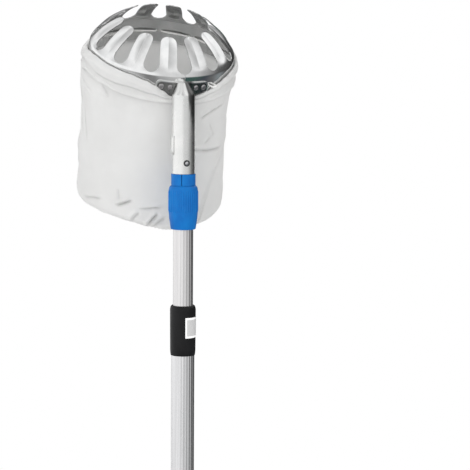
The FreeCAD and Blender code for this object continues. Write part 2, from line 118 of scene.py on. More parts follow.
def made(tree, kind, operation=None, **inputs):
    """A node with its inputs linked or set, each by its name, or as i0, i1 or i2 by its number. A node given
    for an input stands for its own first output."""
    node = tree.nodes.new("ShaderNode" + kind)
    if operation:
        node.operation = operation
    for key, value in inputs.items():
        socket = node.inputs[int(key[1]) if key in ("i0", "i1", "i2") else key.replace("_", " ")]
        if isinstance(value, bpy.types.Node):
            value = value.outputs[0]
        if isinstance(value, bpy.types.NodeSocket):
            tree.links.new(value, socket)
        else:
            socket.default_value = value
    return node


class Shader:
    """A Principled material with helpers for the few nodes that these looks share."""

    def __init__(self, name, toned=False, **settings):
        self.toned = toned
        self.material = bpy.data.materials.new(name)
        self.material.use_nodes = True
        self.tree = self.material.node_tree
        self.made = partial(made, self.tree)
        self.surface = self.tree.nodes["Principled BSDF"]
        for key, value in settings.items():
            self.surface.inputs[key.replace("_", " ")].default_value = value
        self.place = self.made("TexCoord").outputs["Object"]
        self.normal = None

    def noise(self, scale, stretch=(1, 1, 1), detail=3.0):
        """Noise in the object's own coordinates, which are first scaled along each axis."""
        place = self.made("Mapping", Vector=self.place, Scale=stretch)
        return self.made("TexNoise", Vector=place, Scale=scale, Detail=detail, Roughness=NOISE_ROUGHNESS)

    def ranged(self, value, low, high, start=NOISE_RANGE[0], end=NOISE_RANGE[1]):
        """A value between start and end, stretched to between low and high."""
        return self.made("MapRange", Value=value, From_Min=start, From_Max=end, To_Min=low, To_Max=high)

    def feed(self, name, node):
        """Links a node's first output to an input of the surface."""
        self.tree.links.new(node.outputs[0], self.surface.inputs[name])

    def colour(self, value, low, high):
        """The base colour; on a toned material it is darkened by each point's own tone."""
        ramp = self.made("ValToRGB", Fac=value)
        for element, place, tint in zip(ramp.color_ramp.elements, NOISE_RANGE, (low, high)):
            element.position = place
            element.color = (*tint, 1)
        # The tone mostly carries painted shade; on the label it is the grey field's print
        if self.toned:
            tone = self.made("Attribute")
            tone.attribute_name = "tone"
            ramp = self.made("VectorMath", "SCALE", i0=ramp, Scale=tone.outputs["Fac"])
        self.feed("Base Color", ramp)

    def roughness(self, value, low, high):
        self.feed("Roughness", self.ranged(value, low, high))

    def bump(self, height, distance, strength):
        """Adds a relief, a distance deep in metres, to those made before."""
        before = {"Normal": self.normal} if self.normal else {}
        self.normal = self.made("Bump", Height=height, Distance=distance, Strength=strength, **before)
        self.feed("Normal", self.normal)

    def blend(self, share, other):
        """Mixes the surface with another shader."""
        mixed = self.made("MixShader", Fac=share, i1=self.surface, i2=other)
        self.tree.links.new(mixed.outputs[0], self.tree.nodes["Material Output"].inputs["Surface"])


def steel(name, low, high, rough_low, rough_high, toned=False):
    """Bright rolled sheet: soft stains, fine rolling scratches and a slight waviness."""
    s = Shader(name, toned, Metallic=1.0)
    s.colour(s.noise(60, detail=4.0), low, high)
    s.roughness(s.noise(180, (1, 1, 0.25), detail=5.0), rough_low, rough_high)
    s.bump(s.noise(900, (1, 1, 0.08)), 0.00001, 0.5)
    s.bump(s.noise(45, detail=1.0), 0.0004, 0.25)
    return s.material


def aluminium(name, low, high):
    """Drawn tube: satin, with streaks along it."""
    s = Shader(name, Metallic=1.0)
    s.colour(s.noise(240, (1, 1, 0.02), detail=4.0), low, high)
    s.roughness(s.noise(700, (1, 1, 0.015), detail=4.0), 0.24, 0.4)
    s.bump(s.noise(1600, (1, 1, 0.01)), 0.00002, 0.6)
    s.bump(s.noise(90, detail=4.0), 0.00005, 0.3)
    return s.material


def plastic(name, low, high, rough_low=0.32, rough_high=0.46, grain=1400, depth=0.00004, glint=0.5,
            toned=False):
    """Moulded plastic: faint flow marks and a fine spark-eroded grain."""
    s = Shader(name, toned, Specular_IOR_Level=glint)
    s.colour(s.noise(70, (1, 1, 0.5), detail=4.0), low, high)
    s.roughness(s.noise(260, detail=4.0), rough_low, rough_high)
    s.bump(s.noise(grain, detail=2.0), depth, 0.6)
    return s.material


def woven(name, low, high, through, toned=False):
    """Plain-woven cloth: threads both ways along the surface's own width and height, slubs, and the share of
    light that comes through."""
    s = Shader(name, toned, Roughness=0.85, Sheen_Weight=0.15, Sheen_Roughness=0.5, Specular_IOR_Level=0.25)
    uv = s.made("UVMap")
    uv.uv_map = "cloth"
    weave = []
    for direction in ("X", "Y"):
        wave = s.made("TexWave", Vector=uv, Scale=THREADS_PER_METRE / tau, Distortion=1.2,
                      Detail=2.0, Detail_Scale=1.5)
        wave.bands_direction = direction
        weave.append(wave.outputs["Fac"])
    s.colour(s.noise(24, detail=5.0), low, high)
    s.bump(s.made("Math", "MULTIPLY", i0=weave[0], i1=weave[1]), 0.00012, 0.5)
    s.bump(s.noise(160, detail=4.0), 0.0005, 0.35)
    s.blend(through, s.made("BsdfTranslucent", Color=(*high, 1)))
    return s.material


def braided(name, low, high):
    """Braided cord: slanted strands."""
    s = Shader(name, Roughness=0.8, Sheen_Weight=0.2)
    s.colour(s.noise(1500, detail=2.0), low, high)
    wave = s.made("TexWave", Vector=s.place, Scale=350, Distortion=1.0)
    wave.bands_direction = "DIAGONAL"
    s.bump(wave.outputs["Fac"], 0.0003, 0.8)
    return s.material


def rubber(name, low, high):
    """Matt rubber with a pebbled skin and rubbed, paler patches."""
    s = Shader(name, Specular_IOR_Level=0.35)
    s.colour(s.noise(30, detail=5.0), low, high)
    s.roughness(s.noise(120), 0.55, 0.75)
    s.bump(s.noise(1100, detail=1.0), 0.00012, 0.7)
    return s.material


crown_steel = steel("crown_steel", (0.78, 0.79, 0.79), (0.9, 0.9, 0.9), 0.09, 0.18, toned=True)
socket_steel = steel("socket_steel", (0.8, 0.81, 0.8), (0.88, 0.88, 0.87), 0.24, 0.32, toned=True)
rivet_steel = steel("rivet_steel", (0.42, 0.41, 0.42), (0.62, 0.6, 0.61), 0.28, 0.42)
screw_steel = steel("screw_steel", (0.55, 0.55, 0.57), (0.75, 0.75, 0.77), 0.25, 0.35, toned=True)
plain_steel = steel("plain_steel", (0.5, 0.5, 0.51), (0.66, 0.66, 0.66), 0.3, 0.42)
inner_aluminium = aluminium("inner_aluminium", (0.74, 0.73, 0.735), (0.86, 0.85, 0.85))
outer_aluminium = aluminium("outer_aluminium", (0.7, 0.7, 0.71), (0.84, 0.84, 0.85))
blue_plastic = plastic("blue_plastic", (0.0, 0.1, 0.365), (0.001, 0.155, 0.47), glint=0.2)
black_plastic = plastic("black_plastic", (0.005, 0.005, 0.0055), (0.01, 0.01, 0.011), glint=0.2)
grey_plastic = plastic("grey_plastic", (0.08, 0.08, 0.08), (0.13, 0.13, 0.13))
natural_plastic = plastic("natural_plastic", (0.56, 0.56, 0.53), (0.7, 0.7, 0.68))
label_film = plastic("label_film", (0.84, 0.84, 0.84), (0.92, 0.92, 0.92), rough_low=0.4, rough_high=0.5,
                     grain=500, depth=0.00002, toned=True)
grip_rubber = rubber("grip_rubber", (0.01, 0.01, 0.011), (0.026, 0.026, 0.027))
bag_cloth = woven("bag_cloth", (0.78, 0.78, 0.775), (0.84, 0.84, 0.835), through=0.46, toned=True)
floor_cloth = woven("floor_cloth", (0.76, 0.76, 0.755), (0.82, 0.82, 0.815), through=0.18)
sewing_thread = braided("sewing_thread", (0.72, 0.72, 0.71), (0.85, 0.85, 0.84))
lacing_cord = braided("lacing_cord", (0.74, 0.74, 0.72), (0.86, 0.86, 0.84))


# ---- Mesh helpers

def added(name, data):
    obj = bpy.data.objects.new(name, data)
    scene.collection.objects.link(obj)
    return obj


def mesh_of(name, verts, faces):
    mesh = bpy.data.meshes.new(name)
    mesh.from_pydata([tuple(v) for v in verts], [], faces)
    return mesh


def piece(name, verts, faces, body, node, material, replaces=True, sharp=35, uvs=None):
    """A mesh that rides a body and replaces or goes with a CAD node, smooth except at sharp edges."""
    mesh = mesh_of(name, verts, faces)
    if uvs:
        layer = mesh.uv_layers.new(name="cloth")
        for loop in mesh.loops:
            layer.data[loop.index].uv = uvs[loop.vertex_index]
    work = bmesh.new()
    work.from_mesh(mesh)
    bmesh.ops.remove_doubles(work, verts=work.verts, dist=0.000002)
    bmesh.ops.recalc_face_normals(work, faces=work.faces)
    work.to_mesh(mesh)
    work.free()
    obj = added(name, mesh)
    mesh.materials.append(material)
    shade(mesh, sharp)
    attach(obj, body)
    if replaces:
        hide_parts(node)
    return obj


def shade(mesh, sharp):
    """Smooth shading, except at edges sharper than the given angle in degrees."""
    mesh.polygons.foreach_set("use_smooth", [True] * len(mesh.polygons))
    mesh.set_sharp_from_angle(angle=radians(sharp))


def thicken(obj, thickness, offset, sharp=35):
    """Gives a sheet its thickness. The inner face's points follow the outer face's in the same order."""
    solid = obj.modifiers.new("thickness", "SOLIDIFY")
    solid.thickness = thickness
    solid.offset = offset
    graph = bpy.context.evaluated_depsgraph_get()
    old = obj.data
    obj.data = bpy.data.meshes.new_from_object(obj.evaluated_get(graph), depsgraph=graph)
    obj.modifiers.clear()
    bpy.data.meshes.remove(old)
    obj.data.name = obj.name
    shade(obj.data, sharp)


def tone_each(obj, tones):
    """Gives each point of a mesh its own tone, from 0 for black to 1 for the material's full colour."""
    # Most tones are painted shade; the label's grey field is its print
    obj.data.attributes.new("tone", "FLOAT", "POINT").data.foreach_set("value", tones)


def grid_faces(rows, columns, first=0, wrap=False):
    """Quads over rows of points; with wrap, each row closes on itself."""
    faces = []
    for j in range(rows - 1):
        for i in range(columns if wrap else columns - 1):
            k = (i + 1) % columns
            faces.append((first + j * columns + i, first + j * columns + k,
                          first + (j + 1) * columns + k, first + (j + 1) * columns + i))
    return faces


def capped(rows, sides):
    """Faces over rings of points, closed at both ends."""
    last = (rows - 1) * sides
    return grid_faces(rows, sides, wrap=True) + [tuple(range(sides)), tuple(range(last, last + sides))]


def rounded(outline, radius, steps=3):
    """An outline of (radius, height) corners in millimetres with each corner rounded, in metres."""
    points = []
    for i, corner in enumerate(outline):
        here = Vector(corner)
        back, on = Vector(outline[i - 1]) - here, Vector(outline[(i + 1) % len(outline)]) - here
        reach = min(radius, back.length * 0.45, on.length * 0.45)
        start, end = here + back.normalized() * reach, here + on.normalized() * reach
        for t in (s / steps for s in range(steps + 1)):
            points.append((start * (1 - t) ** 2 + here * (2 * t * (1 - t)) + end * t * t) * MM)
    return points


def lathe(outline, steps, shape=None):
    """A closed (radius, height) outline turned about the pole's axis; shape may change a point's radius."""
    verts = []
    for i in range(steps):
        angle = tau * i / steps
        for r, z in outline:
            r = shape(r, z, angle) if shape else r
            verts.append((r * cos(angle), r * sin(angle), z))
    count = len(outline)
    faces = [(i * count + k, (i + 1) % steps * count + k, (i + 1) % steps * count + (k + 1) % count,
              i * count + (k + 1) % count) for i in range(steps) for k in range(count)]
    return verts, faces


def stud(outline, where, outward):
    """A small turned part at a point: outline is (radius, height) in millimetres, from rim to axis."""
    steps = 24
    side = outward.orthogonal().normalized()
    other = outward.cross(side)
    verts = []
    for r, h in outline:
        for i in range(steps):
            angle = tau * i / steps
            verts.append(where + (side * cos(angle) + other * sin(angle)) * (r * MM) + outward * (h * MM))
    return verts, capped(len(outline), steps)


def joined(parts):
    """Several (verts, faces) as one."""
    verts, faces = [], []
    for more_verts, more_faces in parts:
        faces += [tuple(i + len(verts) for i in face) for face in more_faces]
        verts += more_verts
    return verts, faces


def stitches(path, pitch, length, thick):
    """Sewn stitches: small rounded bars along a list of (point, outward) pairs that closes on itself."""
    sides = 6
    sections = ((-1, 0.3), (-0.8, 0.8), (-0.4, 1), (0.4, 1), (0.8, 0.8), (1, 0.3))
    faces = capped(len(sections), sides)
    parts = []
    walked, due = 0.0, 0.0
    for (here, out), (there, _) in zip(path, path[1:] + path[:1]):
        run = (there - here).length
        while due <= walked + run:
            along = (there - here).normalized()
            middle = here + along * (due - walked)
            across = out.cross(along).normalized()
            verts = []
            for t, width in sections:
                lift = thick * (0.55 - 0.6 * t * t)
                r = thick / 2 * width
                for k in range(sides):
                    angle = tau * k / sides
                    verts.append(middle + along * (t * length / 2) + out * (lift + r * sin(angle))
                                 + across * (r * cos(angle)))
            parts.append((verts, faces))
            due += pitch
        walked += run
    return joined(parts)


# ---- Camera, light and floor

CAMERA_SIDE = radians(-17.5)
CAMERA_DISTANCE = 1.9
CAMERA_RISE = 0.0516
CAMERA_LENS = 137.1
CAMERA_TURN = radians(1.711)
CAMERA_DIP = radians(5.018)
CAMERA_ROLL = radians(0.38)
SENSOR_WIDTH = 36
SHINE, SOFT = 1.06, 1.43
PANEL_SIDE, PANEL_UP = radians(-18), radians(-4)
PANEL_DISTANCE, PANEL_SIZE, PANEL_POWER = 2.5, 0.8, 10


def add_camera():
    """Looks at the head from its left, a little above it."""
    ridge = on_ring(0, RING, 0)
    data = bpy.data.cameras.new("camera")
    data.lens = CAMERA_LENS
    data.sensor_width = SENSOR_WIDTH
    camera = added("camera", data)
    camera.location = (CAMERA_DISTANCE * sin(CAMERA_SIDE), -CAMERA_DISTANCE * cos(CAMERA_SIDE),
                       ridge.z + CAMERA_RISE)
    to_ridge = ridge - camera.location
    heading = math.atan2(to_ridge.x, to_ridge.y) + CAMERA_TURN
    dip = math.atan2(to_ridge.z, math.hypot(to_ridge.x, to_ridge.y)) - CAMERA_DIP
    look = Vector((sin(heading) * cos(dip), cos(heading) * cos(dip), sin(dip)))
    turn = look.to_track_quat("-Z", "Y") @ Matrix.Rotation(CAMERA_ROLL, 3, "Z").to_quaternion()
    camera.rotation_euler = turn.to_euler()
    scene.camera = camera


def studio_light():
    """A white room for the camera, soft light from all round on what is matt, and a sky of soft boxes with
    dark gaps between them for the bright metal to reflect."""
    world = bpy.data.worlds.new("studio")
    scene.world = world
    world.use_nodes = True
    world.cycles.sampling_method = "NONE"
    nodes, links = world.node_tree.nodes, world.node_tree.links
    nodes.clear()
    add = partial(made, world.node_tree)

    direction = add("TexCoord").outputs["Generated"]
    turned = add("VectorRotate", Vector=direction, Angle=-CAMERA_SIDE)
    parts = add("SeparateXYZ", Vector=turned).outputs
    backward = add("Math", "MULTIPLY", i0=parts["Y"], i1=-1.0)
    azimuth = add("Math", "ARCTAN2", i0=parts["X"], i1=backward)
    round_it = add("MapRange", Value=azimuth, From_Min=-pi, From_Max=pi)

    def ring_of(stops):
        """Light by azimuth in degrees, from the camera's side toward its right."""
        node = add("ValToRGB", Fac=round_it)
        elements = node.color_ramp.elements
        while len(elements) < len(stops):
            elements.new(0.5)
        for element, (degrees, colour) in zip(elements, stops):
            element.position = degrees / 360 + 0.5
            element.color = (*colour, 1) if isinstance(colour, tuple) else (colour, colour, colour, 1)
        return node.outputs["Color"]

    low = ring_of([(-180, 0.1), (-140, 0.12), (-122, 0.35), (-90, 0.55), (-50, 0.5), (-26, 0.2), (-12, 0.22),
                   (0, 0.4), (36, 0.5), (42, (0.044, 0.078, 0.082)), (62, (0.053, 0.1, 0.082)),
                   (85, (0.06, 0.068, 0.083)), (104, 0.13), (117, (0.22, 0.25, 0.26)), (135, 0.2),
                   (150, 0.05), (180, 0.1)])
    level = ring_of([(-180, 0.16), (-162, 0.14), (-150, 0.4), (-138, 1.0), (-12, 1.0), (6, 0.72), (45, 0.66),
                     (70, 0.38), (98, 0.11), (150, 0.03), (168, 0.1), (180, 0.16)])
    high = ring_of([(-180, 0.4), (-175, 0.4), (-135, 0.9), (-120, 0.5), (-100, 0.8), (-80, 1.0), (-64, 0.5),
                    (-45, 0.8), (-24, 1.0), (-9, 0.42), (10, 0.7), (31, 1.0), (46, 1.0), (66, 0.8),
                    (86, 0.45), (102, 1.0), (126, 1.0), (146, 0.4), (180, 0.4)])

    def between(a, b, start, end):
        """One ring of light below, another above, with a fade between two elevations in degrees."""
        fade = add("MapRange", Value=parts["Z"], From_Min=sin(radians(start)), From_Max=sin(radians(end)))
        fade.interpolation_type = "SMOOTHSTEP"
        node = nodes.new("ShaderNodeMix")
        node.data_type = "RGBA"
        links.new(fade.outputs["Result"], node.inputs["Factor"])
        links.new(a, node.inputs["A"])
        links.new(b, node.inputs["B"])
        return node.outputs["Result"]

    reflected = between(between(low, level, -22, -10), high, 15, 27)
    even = ring_of([(-180, 0.7), (-110, 0.82), (-60, 0.93), (-30, 0.98), (0, 1.0), (30, 0.87), (60, 0.76),
                    (110, 0.7), (180, 0.7)])
    shine = add("Background", Color=reflected, Strength=SHINE)
    soft = add("Background", Color=even, Strength=SOFT)
    white = add("Background", Color=(1, 1, 1, 1), Strength=1.0)
    path = add("LightPath").outputs
    lit = add("MixShader", Fac=path["Is Glossy Ray"], i1=soft, i2=shine)
    seen = add("MixShader", Fac=path["Is Camera Ray"], i1=lit, i2=white)
    add("OutputWorld", Surface=seen)


def left_panel():
    """A low square panel at the camera's left, which the metal doesn't reflect."""
    panel = bpy.data.lights.new("left_panel", "AREA")
    panel.energy = PANEL_POWER
    panel.size = PANEL_SIZE
    light = added("left_panel", panel)
    side = CAMERA_SIDE + PANEL_SIDE
    away = Vector((sin(side) * cos(PANEL_UP), -cos(side) * cos(PANEL_UP), sin(PANEL_UP)))
    light.location = CENTRE + away * PANEL_DISTANCE
    light.rotation_euler = away.to_track_quat("Z", "Y").to_euler()
    light.visible_glossy = False


def pale_floor():
    """A round pale floor that fades into the white room."""
    reach, rings, steps = 3.0, 24, 64
    verts = [(0, 0, cad_low.z)]
    for ring in range(1, rings + 1):
        r = reach * ring / rings
        verts += [(r * cos(tau * i / steps), r * sin(tau * i / steps), cad_low.z) for i in range(steps)]
    faces = [(0, 1 + i, 1 + (i + 1) % steps) for i in range(steps)] + grid_faces(rings, steps, 1, True)
    floor = added("floor", mesh_of("floor", verts, faces))
    s = Shader("pale_floor", Roughness=0.9)
    s.colour(s.noise(3, detail=4.0), (0.83, 0.83, 0.83), (0.87, 0.87, 0.87))
    length = s.made("VectorMath", "LENGTH", i0=s.place).outputs["Value"]
    s.blend(s.ranged(length, 0.0, 1.0, 0.5, 2.4), s.made("Emission"))
    floor.data.materials.append(s.material)
    floor.visible_glossy = False


# ---- Crown

PROFILE_STEP = 0.25 * MM
FINGER_LENGTH = 46.5 * MM
RIDGE_BEND = 3 * MM
ROOT_SLOPE, TIP_SLOPE = radians(58), radians(27)
GAP_BOTTOM = 2.8 * MM
GAP_RADIUS = 8.6 * MM
GAP_AT_TIP = 3.2 * MM
CREASE_DEPTH, CREASE_AT_TIP = 1.1 * MM, 0.35
CREASE_START, CREASE_FULL, CREASE_FADE = 5 * MM, 15 * MM, 30 * MM
SEAM = 0.3 * MM
# Painted shade: the inside face of the crown's sheet is painted darker than its outside
INNER_PAINTED_SHADE = 0.64


def crown_profile():
    """Radius, height and slope of the pressed strip at each step of its length from the band's foot."""
    walked, r, h = -BAND, RING, -BAND
    table = []
    while walked < FINGER_LENGTH + PROFILE_STEP:
        if walked < RIDGE_BEND:
            slope = mix(pi / 2, ROOT_SLOPE, smooth_step(-RIDGE_BEND, RIDGE_BEND, walked))
        else:
            slope = mix(ROOT_SLOPE, TIP_SLOPE, (walked - RIDGE_BEND) / (FINGER_LENGTH - RIDGE_BEND))
        table.append((r, h, slope))
        r -= cos(slope) * PROFILE_STEP
        h += sin(slope) * PROFILE_STEP
        walked += PROFILE_STEP
    return table


PROFILE = crown_profile()


def strip_point(length, across, half_width):
    """The plain strip's radius at a length from the ridge, then the radius and height of its point at a way
    across from a finger's middle, where the finger is creased."""
    index = (length + BAND) / PROFILE_STEP
    low = min(int(index), len(PROFILE) - 2)
    part = index - low
    r, h, slope = (mix(a, b, part) for a, b in zip(PROFILE[low], PROFILE[low + 1]))
    depth = CREASE_DEPTH * smooth_step(CREASE_START, CREASE_FULL, length)
    depth *= mix(1.0, CREASE_AT_TIP, smooth_step(CREASE_FADE, FINGER_LENGTH, length))
    near = 1 - min(abs(across) / half_width, 1.0)
    inward = depth * near ** 1.15
    return r, r - inward * sin(slope), h - inward * cos(slope)


def crown_rows():
    """Each row across half a finger's pitch: its length from the ridge and the gap's half-width there."""
    rows = [(v * MM, 0.0) for v in (-26, -20, -14, -8, -5, -4, -3, -2, -1, 0, 1, 2)]
    middle = GAP_BOTTOM + GAP_RADIUS
    for step in range(9):
        turn = radians(90) * step / 8
        rows.append((middle - GAP_RADIUS * cos(turn), GAP_RADIUS * sin(turn)))

    def side_gap(v):
        return mix(GAP_RADIUS, GAP_AT_TIP, (v - middle) / (FINGER_LENGTH - middle))

    tip_half = PROFILE[-1][0] * PITCH / 2 - GAP_AT_TIP
    tip_start = FINGER_LENGTH - tip_half
    for step in range(1, 10):
        v = mix(middle, tip_start, step / 9)
        rows.append((v, side_gap(v)))
    for turn in (12, 24, 36, 48, 60, 70, 80, 87):
        v = tip_start + tip_half * sin(radians(turn))
        half_pitch = PROFILE[min(int((v + BAND) / PROFILE_STEP), len(PROFILE) - 1)][0] * PITCH / 2
        rows.append((v, half_pitch - (half_pitch - side_gap(v)) * cos(radians(turn))))
    return rows


def build_crown():
    """The band and its fingers, in mirrored halves of a finger, with a seam where the strip's ends meet."""
    rows = crown_rows()
    columns = (0, 0.06, 0.16, 0.3, 0.45, 0.6, 0.74, 0.86, 0.94, 0.98, 1)
    verts, faces = [], []
    for finger in range(FINGERS):
        for side in (-1, 1):
            first = len(verts)
            for length, gap in rows:
                r_plain = strip_point(length, 1.0, 1.0)[0]
                half = r_plain * PITCH / 2
                if not gap and (finger, side) in ((0, -1), (FINGERS - 1, 1)):
                    gap = SEAM
                for t in columns:
                    edge = mix(half - gap, 0.0, t)
                    _, r, h = strip_point(length, edge, half - gap)
                    angle = (finger + 0.5) * PITCH + side * edge / r_plain + FINGER_TURN
                    verts.append(on_ring(angle, r, h))
            faces += grid_faces(len(rows), len(columns), first)
    crown = piece("crown_sheet", verts, faces, "head", "crown", crown_steel)
    # An open sheet's normals may all point inward, and thicken would then add to its outside
    sample = crown.data.polygons[:200]
    if sum(face.normal.dot(face.center - CENTRE) > 0 for face in sample) < len(sample) / 2:
        crown.data.flip_normals()
    count = len(crown.data.vertices)
    thicken(crown, SHEET, -1)
    # Painted shade: the inside face is painted darker
    tone_each(crown, [1.0] * count + [INNER_PAINTED_SHADE] * count)


# ---- Handle socket

PLATE_OUT = 81.2 * MM
PLATE_LOW, PLATE_TOP = -24 * MM, -4.9 * MM
PLATE_HALF = radians(21.5)
PLATE_TURN = radians(1.6)
PLATE_SLOPE = -0.045
PLATE_CORNER = 5.5 * MM
SOCKET_RADIUS, SOCKET_BORE, NOSE_BORE = 12 * MM, 11.15 * MM, 9.4 * MM
TUBE_LENGTH = 76 * MM
SOCKET_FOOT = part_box("handle_socket")[0].z
NOSE_FOOT = SOCKET_FOOT + TUBE_LENGTH
# The raised lug and the slit beside it, with their ends above the socket's foot
LUG_ANGLE, LUG_OUT = radians(-92), 1.7 * MM
LUG_LOW, LUG_TOP, LUG_FADE = 20 * MM, 41 * MM, 2.5 * MM
SLIT_ANGLE, SLIT_HALF, SLIT_DEPTH = radians(-73), radians(3), 2.6 * MM
SLIT_LOW, SLIT_TOP = 20.8 * MM, 39.5 * MM
# Painted shade on the plate's panel and on the nose's right side, and over how many millimetres the latter
# fades
PANEL_PAINTED_SHADE, NOSE_PAINTED_SHADE, NOSE_FADE = 0.3, 0.18, 40
RIVET_HEIGHT = -11.8 * MM
# The screw's domed middle is bright; the sunk ring round it is painted dark, a painted shade
SCREW_DOME, SCREW_RING_PAINTED_SHADE = 0.9 * MM, 0.14


def socket_tube():
    """The rolled tube with its lug and slit, drawn in to a rounded nose on the plate."""
    angles = sorted([tau * i / 96 - pi for i in range(96)]
                    + [SLIT_ANGLE + radians(d) for d in (-3.2, -2.6, 2.6, 3.2)])

    def section(z, half, front, back):
        return [(half * sin(a), (front + back) / 2 - (back - front) / 2 * cos(a), z) for a in angles]

    verts = []
    for level in (0, 0.4, 3, 8, 14, 19, 20.5, 21, 22, 24, 27, 30, 33, 36, 38, 39, 40.5, 42, 45, 55, 65, 76):
        up = level * MM
        along_lug = smooth_step(LUG_LOW, LUG_LOW + LUG_FADE, up)
        along_lug *= smooth_step(LUG_TOP, LUG_TOP - LUG_FADE, up)
        for a in angles:
            out = SOCKET_RADIUS - (0.35 * MM if level == 0 else 0)
            out += LUG_OUT * along_lug * smooth_step(radians(17), radians(9), abs(a - LUG_ANGLE))
            if abs(a - SLIT_ANGLE) < SLIT_HALF and SLIT_LOW < up < SLIT_TOP:
                out -= SLIT_DEPTH
            verts.append((out * sin(a), -out * cos(a), SOCKET_FOOT + up))
    # The nose, in millimetres: it narrows, its front leans back to the band and its back meets the plate
    nose_height, nose_back, shoulder = 20, 7.4, 9.5
    for k in range(1, 13):
        rise = nose_height * k / 12
        half = mix(11.6, 5.8, (rise - shoulder) / 10.5)
        if rise < shoulder:
            half = eased([(0, 12), (7.5, 12.15), (shoulder, 11.6)], rise)
        front = -12 + 8.3 * smooth_step(6, 24, rise) / smooth_step(6, 24, nose_height)
        back = mix(12, nose_back, smooth_step(2, nose_height, rise))
        verts += section(NOSE_FOOT + rise * MM, half * MM, front * MM, back * MM)
    for rise, half, front in ((20.5, 5.4, -3.2), (20.9, 4.7, -2.0), (21.1, 3.6, -0.2), (21.1, 2.0, 2.6)):
        verts += section(NOSE_FOOT + rise * MM, half * MM, front * MM, nose_back * MM)
    count = len(angles)
    faces = grid_faces(len(verts) // count, count, wrap=True)
    faces.append(tuple(range(len(verts) - count, len(verts))))
    inside = len(verts)
    bore = [(SOCKET_FOOT, SOCKET_BORE), (SOCKET_FOOT + 40 * MM, SOCKET_BORE), (NOSE_FOOT, SOCKET_BORE),
            (NOSE_FOOT + 8 * MM, NOSE_BORE)]
    for z, r in bore:
        verts += [(r * sin(a), -r * cos(a), z) for a in angles]
    faces += grid_faces(len(bore), count, inside, wrap=True)
    faces.append(tuple(range(len(verts) - count, len(verts))))
    faces += [(i, (i + 1) % count, inside + (i + 1) % count, inside + i) for i in range(count)]
    return verts, faces


def socket_plate():
    """The plate pressed round the crown's band, with rounded corners and a raised lip round its edge."""
    half, tall = PLATE_HALF * RING, (PLATE_TOP - PLATE_LOW) / 2
    middle = (PLATE_LOW + PLATE_TOP) / 2

    def corner_point(quarter, degrees):
        side, end = ((1, 1), (-1, 1), (-1, -1), (1, -1))[quarter % 4]
        turn = radians(90 * quarter + degrees)
        return (side * (half - PLATE_CORNER) + PLATE_CORNER * cos(turn),
                end * (tall - PLATE_CORNER) + PLATE_CORNER * sin(turn))

    outline = []
    for quarter in range(4):
        outline += [corner_point(quarter, 15 * step) for step in range(7)]
        (x0, y0), (x1, y1) = outline[-1], corner_point(quarter + 1, 0)
        outline += [(mix(x0, x1, step / 12), mix(y0, y1, step / 12)) for step in range(1, 12)]
    # Each ring's inset from the outline and its radius, in millimetres
    rings = [(0.0, 80.0), (0.0, 81.0), (0.25, 81.45), (0.8, 81.6), (1.4, 81.35)]
    rings += [(inset, PLATE_OUT / MM) for inset in (2.0, 3.2, 4.6, 6.2, 7.6)]

    def on_band(x, y, r):
        return on_ring(x / RING + PLATE_TURN, r * MM, middle + y + PLATE_SLOPE * x)

    verts = []
    for inset, r in rings:
        keep_x, keep_y = (half - inset * MM) / half, (tall - inset * MM) / tall
        verts += [on_band(x * keep_x, y * keep_y, r) for x, y in outline]
    # The last ring is drawn in to a line along the plate's middle
    verts += [on_band(x * (half - 8 * MM) / half, 0, PLATE_OUT / MM) for x, _ in outline]
    return verts, grid_faces(len(rings) + 1, len(outline), wrap=True)


def plate_painted_shade(point):
    """Painted shade, darker on the plate's pressed-in panel and the nose's right side than elsewhere."""
    below = (NOSE_FOOT - point.z) / MM
    turn = math.degrees(math.atan2(point.x, -point.y))
    on_tube = math.hypot(point.x, point.y) < SOCKET_RADIUS + 1.5 * MM
    if on_tube and below < NOSE_FADE and 0 < turn < 150:
        # The painted shade's edge moves from the nose's front to the tube's right side
        start = mix(3, 40, min(max(below + 4, 0.0) / (NOSE_FADE + 4), 1.0))
        return mix(1.0, NOSE_PAINTED_SHADE, smooth_step(start, start + 9, turn) * smooth_step(NOSE_FADE, 5, below))
    out = point - CENTRE
    out -= UP * out.dot(UP)
    on_panel = abs(out.length - PLATE_OUT) < 0.04 * MM and point.z > CENTRE.z - 70 * MM
    return PANEL_PAINTED_SHADE if on_panel else 1.0


